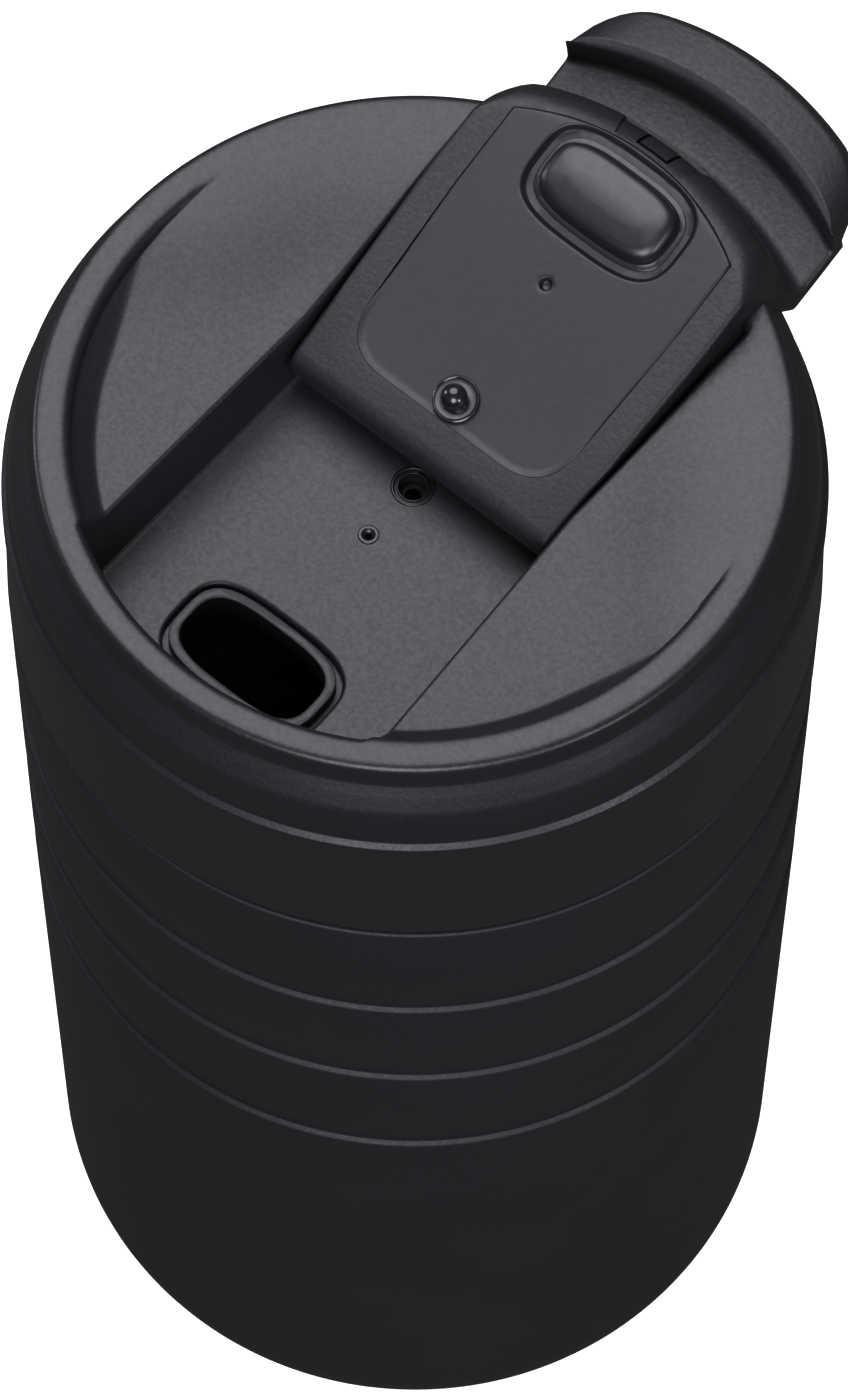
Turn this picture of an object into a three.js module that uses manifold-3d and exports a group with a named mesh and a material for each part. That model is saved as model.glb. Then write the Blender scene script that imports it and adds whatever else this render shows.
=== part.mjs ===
// Insulated travel mug with a screw-on drinking lid and a flip-open flap.
// Millimetres, +Z up, origin on the mug's axis at the resting face.
// The drinking side is -Y. The flap is modelled open, lying back towards +Y.
import * as THREE from "three";
import { mergeVertices } from "three/addons/utils/BufferGeometryUtils.js";
import Module from "manifold-3d";

const wasm = await Module();
wasm.setup();

// ---------- driving dimensions ----------
const GAP = 0.3; // between touching pieces
const TURN_STEPS = 48; // facets round the mug
const DEG = Math.PI / 180;

const BASE_R = 40.5; // wall radius carried down to the resting face
const WALL_RISE = 0.0209; // growth of the wall radius per mm of height
const FILLET_R = 15.3; // rounding between wall and underside
const SHELL_Z = 0.5; // underside of the steel shell
const SHELL_WALL = 0.6;
const SHOULDER_Z = 138.9; // where the wall turns in under the lid
const GROOVE_ZS = [83.8, 101.7, 119.5];
const GROOVE_DEPTH = 0.7;
const GROOVE_HALF = 1.3;

const NECK_R = 37.2; // outside of the steel neck
const NECK_TOP_Z = 151.8;
const LINER_R = 36.1; // outside of the liner at the mouth
const LINER_FOOT_R = 34.0;
const LINER_FLOOR_Z = 7.2;
const LINER_FOOT_ROUND = 10;
const LINER_STRAIGHT_Z = 135; // above this the liner no longer widens
const RIM_Z = 152.9; // drinking-vessel rim, the top of the rolled liner edge

const THREAD_LEAD = 12; // rise in one full turn
const THREAD_STARTS = 2;
const COLLAR_R = 38.6;
const RIB = 2.0; // height of a thread rib along the axis
const MALE_RIB_R = 39.9;
const FEMALE_RIB_R = 39.1;
const MALE_RIB_Z = 144.6; // middle of a male rib where it starts
const MALE_RIB_ARC = 150;
const FEMALE_RIB_ARC = 120;
const FEMALE_RIB_START = 15;

const LID_R = 43.5;
const LID_BOTTOM_Z = 139.6;
const LID_BORE_R = 42.0;
const BEAD_R = 38.2; // centre circle of the rolled bead round the lid's top
const BEAD_TUBE = 1.84;
const BEAD_Z = 169.5;
const FLOOR_UNDER_Z = 156.6; // underside of the channel's floor
const FLOOR_Z = 158.5; // channel floor at the mug's axis
const FLOOR_RISE = 0.045; // per mm towards the back, so spills run forward
const DECK_Z = 168.2; // the two shoulders beside the channel, at the axis
const DECK_RISE = 0.035;
const DECK_R = 36.3;

const HINGE_Y = 3.8;
const HINGE_Z = 162.9;
const OPEN_TILT = 18.2 * DEG; // how far the open flap leans up from level
const PIN_R = 1.0;
const PIN_HOLE_R = 1.3;
const PIN_HALF = 20.6;

const FLAP_HALF = 17.3; // half width at the hinge
const FLAP_WIDEN = 0.04; // growth of the half width per mm from the hinge
const FLAP_FACE = 3.7; // inner face above the hinge axis
const FLAP_BACK = -1.1; // outer face
const CHANNEL_CLEAR = 0.45;
const SAG_R = 40; // plan radius of the arcs across the flap's end

const SIP_Y = -26.4;
const SIP_HOLE = [16.4, 8.6, 4.0]; // length, width, corner radius
const SIP_COLLAR = 0.95; // wall of the spout
const SIP_COLLAR_RISE = 0.7;
const PLUG_U = 30.4; // plug centre, from the hinge along the flap
const PLUG = [15.2, 7.4, 3.5];
const PLUG_RISE = 2.0;
const MOAT = [19.0, 11.2, 5.2];
const MOAT_DEPTH = 0.8; // of the trough round the plug
const STUD_U = 4.0;
const STUD_BALL_R = 1.35;
const STUD_BALL_RISE = 0.6; // ball centre above the face
const SOCKET_Y = 0.0;
const SOCKET_BORE_R = 2.3;
const SOCKET_HOLE_R = 3.4;
const VENT_Y = -8.3;
const VENT_BORE_R = 0.7;
const VENT_HOLE_R = 1.7;
const PLATE_THICK = 1.2;

// ---------- shape helpers ----------
function solid(geometry) {
  const bare = geometry.clone();
  for (const name of Object.keys(bare.attributes)) {
    if (name !== "position") bare.deleteAttribute(name);
  }
  const welded = mergeVertices(bare, 1e-4);
  const made = new wasm.Mesh({
    numProp: 3,
    vertProperties: welded.attributes.position.array,
    triVerts: new Uint32Array(welded.index.array),
  });
  return new wasm.Manifold(made);
}

function area(points) {
  return points.reduce((sum, [x, y], i) => {
    const [nx, ny] = points[(i + 1) % points.length];
    return sum + (x * ny - nx * y) / 2;
  }, 0);
}

// A closed [radius, height] outline turned about Z.
function turned(outline, steps = TURN_STEPS) {
  const points = area(outline) > 0 ? outline : [...outline].reverse();
  const ring = [...points, points[0]].map(([r, z]) => new THREE.Vector2(r, z));
  const geometry = new THREE.LatheGeometry(ring, steps);
  geometry.rotateX(Math.PI / 2);
  return solid(geometry);
}

// A [radius, height] outline that starts and ends on the axis, turned about Z.
function capped(outline, steps = TURN_STEPS) {
  const points = outline.map(([r, z]) => new THREE.Vector2(r, z));
  const geometry = new THREE.LatheGeometry(points, steps);
  geometry.rotateX(Math.PI / 2);
  return solid(geometry);
}

function shapeOf(points) {
  return new THREE.Shape(points.map(([x, y]) => new THREE.Vector2(x, y)));
}

// An outline in the XY plane, raised from z0 to z1.
function raised(outline, z0, z1) {
  const shape = Array.isArray(outline) ? shapeOf(outline) : outline;
  const settings = { depth: z1 - z0, bevelEnabled: false, curveSegments: 4 };
  return solid(new THREE.ExtrudeGeometry(shape, settings).translate(0, 0, z0));
}

// An outline in the YZ plane, drawn out along X to both sides of the middle.
function across(points, half, steps = 1) {
  const settings = { depth: 2 * half, bevelEnabled: false, steps };
  const geometry = new THREE.ExtrudeGeometry(shapeOf(points), settings);
  const turn = new THREE.Matrix4().set(0, 0, 1, -half, 1, 0, 0, 0, 0, 1, 0, 0, 0, 0, 0, 1);
  return geometry.applyMatrix4(turn);
}

function oblong([length, width, corner], grow = 0, y = 0) {
  const a = length / 2 + grow;
  const b = width / 2 + grow;
  const r = corner + grow;
  const shape = new THREE.Shape();
  shape.moveTo(r - a, y - b);
  shape.absarc(a - r, y + r - b, r, -Math.PI / 2, 0, false);
  shape.absarc(a - r, y + b - r, r, 0, Math.PI / 2, false);
  shape.absarc(r - a, y + b - r, r, Math.PI / 2, Math.PI, false);
  shape.absarc(r - a, y + r - b, r, Math.PI, 1.5 * Math.PI, false);
  return shape;
}

function rod(radius, z0, z1, x = 0, y = 0, steps = 16) {
  const geometry = new THREE.CylinderGeometry(radius, radius, z1 - z0, steps);
  geometry.rotateX(Math.PI / 2);
  return solid(geometry.translate(x, y, (z0 + z1) / 2));
}

function rodAcross(radius, half, y, z, steps = 12) {
  const geometry = new THREE.CylinderGeometry(radius, radius, 2 * half, steps);
  geometry.rotateZ(Math.PI / 2);
  return solid(geometry.translate(0, y, z));
}

function arc(cr, cz, radius, from, to, steps) {
  return Array.from({ length: steps + 1 }, (_, i) => {
    const a = (from + ((to - from) * i) / steps) * DEG;
    return [cr + radius * Math.cos(a), cz + radius * Math.sin(a)];
  });
}

function union(solids) {
  return solids.reduce((sum, next) => sum.add(next));
}

const root = new THREE.Group();

function part(name, made, colour, roughness, metalness, parent = root) {
  const mesh = made.getMesh();
  const geometry = new THREE.BufferGeometry();
  geometry.setAttribute("position", new THREE.BufferAttribute(mesh.vertProperties, 3));
  geometry.setIndex(new THREE.BufferAttribute(mesh.triVerts, 1));
  geometry.computeVertexNormals();
  const material = new THREE.MeshStandardMaterial({ color: colour, roughness, metalness });
  const object = new THREE.Mesh(geometry, material);
  object.name = name;
  parent.add(object);
  return object;
}

const COATED = 0x1d1f24;
const LID_BLACK = 0x2b2d33;
const FLAP_BLACK = 0x26282d;
const STEEL = 0xb9bbbe;
const SILICONE = 0x202226;
const GREY_SILICONE = 0x8a8d92;

// ---------- the vessel ----------
const wallR = (z) => BASE_R + WALL_RISE * z;

function grooved(z) {
  return [
    [wallR(z - GROOVE_HALF), z - GROOVE_HALF],
    [wallR(z) - GROOVE_DEPTH, z],
    [wallR(z + GROOVE_HALF), z + GROOVE_HALF],
  ];
}

const filletR = BASE_R - FILLET_R;
const filletZ = FILLET_R + SHELL_Z;
const shellOutside = [
  ...arc(filletR, filletZ, FILLET_R, -90, 0, 7),
  ...GROOVE_ZS.flatMap(grooved),
  [wallR(SHOULDER_Z), SHOULDER_Z - 1],
  [wallR(SHOULDER_Z) - 0.8, SHOULDER_Z],
  [NECK_R + 0.8, SHOULDER_Z],
  [NECK_R, SHOULDER_Z + 0.8],
  [NECK_R, NECK_TOP_Z],
];
const shellInside = [
  [NECK_R - SHELL_WALL, NECK_TOP_Z],
  [NECK_R - SHELL_WALL, SHOULDER_Z - SHELL_WALL],
  [wallR(SHOULDER_Z) - 1.6, SHOULDER_Z - SHELL_WALL],
  ...GROOVE_ZS.toReversed().map((z) => [wallR(z) - GROOVE_DEPTH - SHELL_WALL, z]),
  ...arc(filletR, filletZ, FILLET_R - SHELL_WALL, 0, -90, 7),
];
part("outer_shell", turned([...shellOutside, ...shellInside]), COATED, 0.55, 0.2);

const linerFoot = LINER_FOOT_R - LINER_FOOT_ROUND;
const linerFootZ = LINER_FLOOR_Z + LINER_FOOT_ROUND;
const linerOutside = [
  [0, LINER_FLOOR_Z],
  ...arc(linerFoot, linerFootZ, LINER_FOOT_ROUND, -90, 0, 4),
  [LINER_R, LINER_STRAIGHT_Z],
  [LINER_R, RIM_Z - 0.8],
  [NECK_R + 0.2, RIM_Z - 0.8],
  [NECK_R + 0.2, RIM_Z],
];
const linerInside = [
  [LINER_R - SHELL_WALL, RIM_Z],
  [LINER_R - SHELL_WALL, LINER_STRAIGHT_Z],
  ...arc(linerFoot, linerFootZ, LINER_FOOT_ROUND - SHELL_WALL, 0, -90, 4),
  [0, LINER_FLOOR_Z + SHELL_WALL],
];
part("inner_liner", capped([...linerOutside, ...linerInside]), STEEL, 0.3, 1);

const BASE_PLATE_Z = 1.75;
part(
  "base_plate",
  capped([
    [0, 3.1],
    [7, 3.1],
    [8, BASE_PLATE_Z],
    [26.2, BASE_PLATE_Z],
    [26.2, BASE_PLATE_Z + 0.8],
    [8.5, BASE_PLATE_Z + 0.8],
    [7.5, 3.9],
    [0, 3.9],
  ], 40),
  STEEL, 0.35, 1,
);
part("vacuum_seal", rod(5.5, BASE_PLATE_Z, 2.8, 0, 0, 20), STEEL, 0.4, 1);
part("base_pad", capped([[0, 0], [23.9, 0], [24.5, 0.6], [24.5, 1.4], [0, 1.4]], 40), SILICONE, 0.8, 0);

// One thread rib: a short bar swept along the helix by a chain of wedge-shaped steps.
function rib(innerR, outerR, startDeg, arcDeg, zStart) {
  const steps = Math.round(arcDeg / 10);
  const positions = [];
  const faces = [];
  for (let i = 0; i <= steps; i += 1) {
    const turn = (arcDeg * i) / steps;
    const a = (startDeg + turn) * DEG;
    const z = zStart + (THREAD_LEAD * turn) / 360;
    const section = [
      [innerR, z - RIB / 2],
      [outerR, z - RIB / 2],
      [outerR, z + RIB / 2],
      [innerR, z + RIB / 2],
    ];
    section.forEach(([r, h]) => positions.push(r * Math.cos(a), r * Math.sin(a), h));
  }
  for (let i = 0; i < steps; i += 1) {
    for (let k = 0; k < 4; k += 1) {
      const a = 4 * i + k;
      const b = 4 * i + ((k + 1) % 4);
      faces.push(a, b, b + 4, a, b + 4, a + 4);
    }
  }
  const last = 4 * steps;
  faces.push(0, 2, 1, 0, 3, 2, last, last + 1, last + 2, last, last + 2, last + 3);
  const flipped = [];
  for (let i = 0; i < faces.length; i += 3) flipped.push(faces[i], faces[i + 2], faces[i + 1]);
  const geometry = new THREE.BufferGeometry();
  geometry.setAttribute("position", new THREE.Float32BufferAttribute(positions, 3));
  geometry.setIndex(flipped);
  return solid(geometry);
}

function thread(innerR, outerR, startDeg, arcDeg, zStart) {
  return Array.from({ length: THREAD_STARTS }, (_, i) =>
    rib(innerR, outerR, startDeg + (360 * i) / THREAD_STARTS, arcDeg, zStart),
  );
}

const COLLAR_FROM_Z = SHOULDER_Z + 2;
const collar = turned([
  [NECK_R + GAP, COLLAR_FROM_Z],
  [COLLAR_R, COLLAR_FROM_Z],
  [COLLAR_R, NECK_TOP_Z - GAP],
  [NECK_R + GAP, NECK_TOP_Z - GAP],
]);
const maleRibs = thread(COLLAR_R - 0.6, MALE_RIB_R, 0, MALE_RIB_ARC, MALE_RIB_Z);
part("neck_collar", union([collar, ...maleRibs]), LID_BLACK, 0.5, 0);

// ---------- the lid ----------
const CAP_DISC_Z = 154.8; // underside of the inner cap's disc, where the gasket seats
const gasket = turned([
  [34.9, RIM_Z + GAP],
  [38.2, RIM_Z + GAP],
  [38.2, CAP_DISC_Z - GAP],
  [34.9, CAP_DISC_Z - GAP],
]);
part("lid_gasket", gasket, GREY_SILICONE, 0.6, 0);

const lidOutside = [
  [LID_BORE_R, LID_BOTTOM_Z],
  [LID_R - 0.5, LID_BOTTOM_Z],
  [LID_R - 0.05, LID_BOTTOM_Z + 0.5],
  [LID_R - 0.25, 155.9],
  [LID_R, 156.6],
  [LID_R, 159.3],
  [LID_R - 0.25, 161.5],
  [43.0, 163.2],
  [42.2, 165.3],
  [41.1, 167.1],
  [40.35, 168.2],
  ...arc(BEAD_R, BEAD_Z, BEAD_TUBE, -20, 180, 10),
];
const lidBlank = capped([
  [0, FLOOR_UNDER_Z],
  [LID_BORE_R, FLOOR_UNDER_Z],
  ...lidOutside,
  [BEAD_R - BEAD_TUBE, 171.0],
  [0, 171.0],
]);

const floorAt = (y) => FLOOR_Z + FLOOR_RISE * y;
const deckAt = (y) => DECK_Z + DECK_RISE * y;
const TOP_Z = 190; // above everything, where cuts end
const CUT_FROM_Z = 150; // below the lid's top, where cuts begin
const FLOOR_CUT_Z = 162; // clear above the channel's floor
const FAR = 45; // outside the lid, where cuts end

// A point of the open flap: u along its face from the hinge, n square to it.
function openPoint(u, n) {
  const y = HINGE_Y + u * Math.cos(OPEN_TILT) - n * Math.sin(OPEN_TILT);
  const z = HINGE_Z + u * Math.sin(OPEN_TILT) + n * Math.cos(OPEN_TILT);
  return [y, z];
}

// The round space that the bead encloses, and the part of it above the two shoulders.
const insideBead = capped([[0, CUT_FROM_Z], [DECK_R, CUT_FROM_Z], [DECK_R, TOP_Z], [0, TOP_Z]]);
const aboveDeck = solid(
  across([[-FAR, deckAt(-FAR)], [FAR, deckAt(FAR)], [FAR, TOP_Z], [-FAR, TOP_Z]], FAR),
).intersect(insideBead);

// Half width of the channel: narrowest at the hinge, wider both ways.
const channelHalf = (y) => FLAP_HALF + CHANNEL_CLEAR + FLAP_WIDEN * Math.abs(y - HINGE_Y);

function channelPlan(grow) {
  const ys = [-FAR, HINGE_Y, FAR];
  return [
    ...ys.map((y) => [channelHalf(y) + grow, y]),
    ...ys.toReversed().map((y) => [-channelHalf(y) - grow, y]),
  ];
}

// The ramp behind the hinge, on which the open flap lies.
const RAMP_CLEAR = 0.8;
const RAMP_LIP = 0.4;
const rampFrom = openPoint(4.5, FLAP_BACK - RAMP_CLEAR);
const rampTo = openPoint(44, FLAP_BACK - RAMP_CLEAR);
const channelSide = [
  [-FAR, floorAt(-FAR)],
  [rampFrom[0] - RAMP_LIP, floorAt(rampFrom[0])],
  rampFrom,
  rampTo,
  [rampTo[0], TOP_Z],
  [-FAR, TOP_Z],
];
const channelCut = solid(across(channelSide, FAR))
  .intersect(raised(channelPlan(0), CUT_FROM_Z, TOP_Z))
  .intersect(insideBead);

// The space under the shoulders and behind the ramp, open downwards.
const UNDER_DECK_Z = 165.6;
const POCKET_WALL = 1.8;
const POCKET_R = 40.6;
const pocketFromZ = FLOOR_UNDER_Z - 1;
const underTop = capped([
  [0, pocketFromZ],
  [POCKET_R, pocketFromZ],
  [POCKET_R, UNDER_DECK_Z - 4.6],
  [POCKET_R - POCKET_WALL, UNDER_DECK_Z - 1.6],
  [POCKET_R - 4.1, UNDER_DECK_Z],
  [0, UNDER_DECK_Z],
]);
const sidePockets = underTop.subtract(raised(channelPlan(POCKET_WALL), CUT_FROM_Z, TOP_Z));
const RAMP_SKIN = 2; // thickness left under the ramp
const rearFrom = openPoint(6.4, FLAP_BACK - RAMP_CLEAR - RAMP_SKIN);
const rearSide = [
  [rearFrom[0], pocketFromZ],
  [rampTo[0], pocketFromZ],
  [rampTo[0], rampTo[1] - RAMP_SKIN],
  rearFrom,
];
const rearPocket = underTop
  .intersect(raised(channelPlan(-POCKET_WALL), CUT_FROM_Z, TOP_Z))
  .intersect(solid(across(rearSide, FAR)));

const spoutPlan = oblong(SIP_HOLE, SIP_COLLAR + GAP, SIP_Y);
const spoutGap = raised(spoutPlan, CUT_FROM_Z, FLOOR_CUT_Z);
const lidShell = lidBlank
  .subtract(aboveDeck)
  .subtract(channelCut)
  .subtract(sidePockets)
  .subtract(rearPocket)
  .subtract(spoutGap)
  .subtract(rod(SOCKET_HOLE_R, CUT_FROM_Z, FLOOR_CUT_Z, 0, SOCKET_Y, 20))
  .subtract(rod(VENT_HOLE_R, CUT_FROM_Z, FLOOR_CUT_Z, 0, VENT_Y, 12))
  .subtract(rodAcross(PIN_HOLE_R, PIN_HALF + GAP, HINGE_Y, HINGE_Z));
part("lid_shell", lidShell, LID_BLACK, 0.55, 0);

// The inner cap carries the thread, the gasket's seat and the drinking spout.
const CAP_WALL_R = LID_BORE_R - GAP;
const CAP_BORE_R = 40.5;
const CAP_TOP_Z = FLOOR_UNDER_Z - GAP;
const LIP_R = 34.3; // inner lip that enters the vessel's mouth
const LIP_Z = 149;
const capBody = capped([
  [0, CAP_DISC_Z],
  [LIP_R - 1.5, CAP_DISC_Z],
  [LIP_R - 1.5, LIP_Z],
  [LIP_R, LIP_Z],
  [LIP_R + GAP, CAP_DISC_Z],
  [CAP_BORE_R, CAP_DISC_Z],
  [CAP_BORE_R, LID_BOTTOM_Z + 0.6],
  [CAP_WALL_R, LID_BOTTOM_Z + 0.6],
  [CAP_WALL_R, CAP_TOP_Z],
  [0, CAP_TOP_Z],
]);
const pitch = THREAD_LEAD / THREAD_STARTS;
const femaleRibZ = MALE_RIB_Z - pitch / 2 + (THREAD_LEAD * FEMALE_RIB_START) / 360;
const femaleRibs = thread(
  FEMALE_RIB_R,
  CAP_BORE_R + 0.5,
  FEMALE_RIB_START,
  FEMALE_RIB_ARC,
  femaleRibZ,
);
const spoutTop = floorAt(SIP_Y) + SIP_COLLAR_RISE;
const spout = raised(oblong(SIP_HOLE, SIP_COLLAR, SIP_Y), CAP_DISC_Z + 0.5, spoutTop);
const lidInner = union([capBody, ...femaleRibs, spout])
  .subtract(raised(oblong(SIP_HOLE, 0, SIP_Y), CUT_FROM_Z, TOP_Z))
  .subtract(rod(0.9, CUT_FROM_Z, TOP_Z, 0, SOCKET_Y, 12))
  .subtract(rod(VENT_BORE_R + GAP, CUT_FROM_Z, TOP_Z, 0, VENT_Y, 12));
part("lid_inner", lidInner, LID_BLACK, 0.55, 0);


// A rubber ring pressed into a hole of the channel's floor.
function bush(boreR, holeR, y, top, steps) {
  const ring = turned(
    [
      [boreR, FLOOR_UNDER_Z],
      [holeR - GAP, FLOOR_UNDER_Z],
      [holeR - GAP, top],
      [boreR, top],
    ],
    steps,
  );
  return ring.translate([0, y, 0]);
}
const socket = bush(SOCKET_BORE_R, SOCKET_HOLE_R, SOCKET_Y, FLOOR_Z, 20);
part("stud_socket", socket, SILICONE, 0.6, 0);
const vent = bush(VENT_BORE_R, VENT_HOLE_R, VENT_Y, floorAt(VENT_Y) + 0.2, 12);
part("vent_bush", vent, SILICONE, 0.6, 0);
part("hinge_pin", rodAcross(PIN_R, PIN_HALF, HINGE_Y, HINGE_Z), STEEL, 0.3, 1);

// ---------- the flap, in its own frame: X across, Y along the face, Z square to it ----------
const flap = new THREE.Group();
flap.position.set(0, HINGE_Y, HINGE_Z);
flap.rotation.x = OPEN_TILT;
root.add(flap);

const ramp = (v, from, to) => THREE.MathUtils.smoothstep(v, from, to);
const sag = (x) => SAG_R - Math.sqrt(SAG_R * SAG_R - x * x);
const TAB_CROWN = 2.6; // how far the tab's ends lie below its middle
const TAB_HALF = 18.8;
const NECK_HALF = 17.6;
const TAB_FROM = 45;

function flapHalf(u) {
  const plain = FLAP_HALF + FLAP_WIDEN * Math.max(u, 0);
  const necked = THREE.MathUtils.lerp(plain, NECK_HALF, ramp(u, 36, 41));
  return THREE.MathUtils.lerp(necked, TAB_HALF, ramp(u, TAB_FROM, 47));
}

// Widens, bows and crowns a straight bar of the flap's section; x runs from -1 to 1.
function shaped(geometry) {
  const at = geometry.attributes.position;
  for (let i = 0; i < at.count; i += 1) {
    const u = at.getY(i);
    const share = at.getX(i);
    const x = share * flapHalf(u);
    const crown = TAB_CROWN * share * share * ramp(u, TAB_FROM, 48);
    at.setXYZ(i, x, u - sag(x) * ramp(u, 20, 34), at.getZ(i) - crown);
  }
  return geometry;
}

const ROLL_U = 36.9;
const WALL_U = 39.1;
const ROOF_N = -10.9; // the recess that passes over the bead when the flap is shut
const flapSection = [
  [-1.2, FLAP_FACE],
  [12, FLAP_FACE],
  [22, FLAP_FACE],
  [29, FLAP_FACE],
  [ROLL_U, FLAP_FACE],
  [37.9, 3.3],
  [38.6, 2.4],
  [WALL_U - 0.1, 1.2],
  [WALL_U, -0.5],
  [WALL_U, ROOF_N + 0.5],
  [WALL_U + 0.5, ROOF_N],
  [44.6, ROOF_N],
  [45.1, ROOF_N + 0.5],
  [46.7, -7.2],
  [47.2, -6.4],
  [47.9, -6.1],
  [51.4, -8.3],
  [52.3, -9.2],
  [52.4, -10.0],
  [51.8, -10.8],
  [49, -12.2],
  [45, -12.9],
  [39, -12.7],
  [38.0, -12.0],
  [37.7, -8],
  [37.2, -4],
  [36.3, -1.5],
  [35.2, -0.5],
  [29, -0.8],
  [22, FLAP_BACK],
  [12, FLAP_BACK],
  [3.0, FLAP_BACK],
  [1.2, -3.0],
  [-1.2, -3.2],
  [-2.9, -1.9],
  [-3.4, 0],
  [-3.2, 1.8],
  [-2.6, 3.1],
  [-2.0, 3.6],
];
const flapBar = solid(shaped(across(flapSection, 1, 12)));

const PLATE_FROM = 1.6;
const PLATE_TO = 36.6;
const PLATE_MARGIN = 3.6;
const PLATE_CORNER = 6;
function platePlan(grow) {
  const shape = new THREE.Shape();
  const front = PLATE_FROM - grow;
  const side = front + PLATE_CORNER;
  const half = (u) => flapHalf(u) - PLATE_MARGIN + grow;
  shape.moveTo(PLATE_CORNER - half(front), front);
  shape.lineTo(half(front) - PLATE_CORNER, front);
  shape.quadraticCurveTo(half(front), front, half(side), side);
  const endHalf = half(PLATE_TO - 4);
  for (let i = 0; i <= 8; i += 1) {
    const x = endHalf * (1 - i / 4);
    shape.lineTo(x, PLATE_TO + grow - sag(x));
  }
  shape.lineTo(-half(side), side);
  shape.quadraticCurveTo(-half(front), front, PLATE_CORNER - half(front), front);
  return shape;
}

const ABOVE_FACE = 10; // clear above the flap's face, where cuts end
const plateUnder = FLAP_FACE - PLATE_THICK;
const pocket = raised(platePlan(GAP), plateUnder - GAP, ABOVE_FACE);
const clipWindow = solid(
  new THREE.BoxGeometry(6.2, 3, 3.2).translate(0, WALL_U + 0.6, -3.4),
);
const flapShell = flapBar
  .subtract(pocket)
  .subtract(clipWindow)
  .subtract(rodAcross(PIN_HOLE_R, FAR, 0, 0));
part("flap_shell", flapShell, FLAP_BLACK, 0.6, 0, flap);

const STUD_STEM_R = 0.85;
const PLUG_STEM_IN = 1.5; // how far the plug's stem lies inside its outline
const DIMPLE_U = 19.6;
const flapPlate = raised(platePlan(0), plateUnder, FLAP_FACE)
  .subtract(raised(oblong(MOAT, 0, PLUG_U), FLAP_FACE - MOAT_DEPTH, ABOVE_FACE))
  .subtract(raised(oblong(PLUG, GAP - PLUG_STEM_IN, PLUG_U), 0, ABOVE_FACE))
  .subtract(rod(STUD_STEM_R + 0.25, 0, ABOVE_FACE, 0, STUD_U, 12))
  .subtract(rod(0.8, FLAP_FACE - 0.7, ABOVE_FACE, 0, DIMPLE_U, 10));
part("flap_plate", flapPlate, FLAP_BLACK, 0.5, 0, flap);

// Rubber stopper seated in the plate: a stem, then a tapered plug with a domed end.
function stopper() {
  const foot = FLAP_FACE - MOAT_DEPTH + GAP;
  const top = FLAP_FACE + PLUG_RISE;
  const layers = [
    [foot, 0],
    [FLAP_FACE + 0.4, -0.1],
    [top - 0.9, -0.35],
    [top - 0.3, -0.9],
    [top, -1.8],
  ];
  const stem = raised(oblong(PLUG, -PLUG_STEM_IN, PLUG_U), plateUnder - 0.1, foot + 0.2);
  const slabs = layers.slice(1).map(([z, grow], i) => {
    const [low, wide] = layers[i];
    return raised(oblong(PLUG, (grow + wide) / 2, PLUG_U), low - 0.01, z);
  });
  return union([stem, ...slabs]);
}
part("sip_plug", stopper(), SILICONE, 0.35, 0, flap);

const FLANGE = 0.25;
const ballZ = FLAP_FACE + STUD_BALL_RISE;
const studProfile = [
  [0, plateUnder - 0.1],
  [STUD_STEM_R, plateUnder - 0.1],
  [STUD_STEM_R, FLAP_FACE + 0.05],
  [2.4, FLAP_FACE + 0.05],
  [2.4, FLAP_FACE + FLANGE],
  ...arc(0, ballZ, STUD_BALL_R, -10, 90, 5).slice(0, -1),
  [0, ballZ + STUD_BALL_R],
];
part("snap_stud", capped(studProfile, 14).translate([0, STUD_U, 0]), SILICONE, 0.25, 0, flap);

export default root;
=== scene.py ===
import math

import bmesh
import bpy
import numpy as np
from mathutils import Matrix, Vector
from mathutils.geometry import delaunay_2d_cdt


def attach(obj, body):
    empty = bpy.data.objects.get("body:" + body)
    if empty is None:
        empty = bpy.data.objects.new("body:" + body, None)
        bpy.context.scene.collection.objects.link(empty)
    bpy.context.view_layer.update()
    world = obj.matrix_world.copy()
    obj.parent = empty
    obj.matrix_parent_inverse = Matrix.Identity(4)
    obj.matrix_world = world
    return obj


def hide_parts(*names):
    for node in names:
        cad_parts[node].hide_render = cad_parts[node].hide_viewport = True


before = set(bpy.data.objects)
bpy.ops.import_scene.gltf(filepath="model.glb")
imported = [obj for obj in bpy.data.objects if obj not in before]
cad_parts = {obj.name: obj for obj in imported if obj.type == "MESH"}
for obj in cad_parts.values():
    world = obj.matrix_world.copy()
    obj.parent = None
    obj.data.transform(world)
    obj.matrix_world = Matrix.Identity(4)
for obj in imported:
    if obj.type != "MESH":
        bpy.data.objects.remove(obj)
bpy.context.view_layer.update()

MM = 0.001
SEGMENTS = 240  # round the mug

# ---------- driving dimensions ----------
BASE_R = 40.5  # wall radius carried down to the resting face
WALL_RISE = 0.0209  # growth of the wall radius per mm of height
FILLET_R = 15.3  # rounding between wall and underside
SHELL_Z = 0.5
SHELL_WALL = 0.6
FOOT_WALL = 1.4  # the shell is thicker round its foot
SHOULDER_Z = 138.9
SHOULDER_IN = 1.6
GROOVE_ZS = (83.8, 101.7, 119.5)
GROOVE_DEPTH = 0.6
GROOVE_LOWER = 0.5  # height of the flank under the deepest line
GROOVE_UPPER = 6.0  # height of the flank above it
NECK_R = 37.2
NECK_TOP_Z = 151.8

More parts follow.
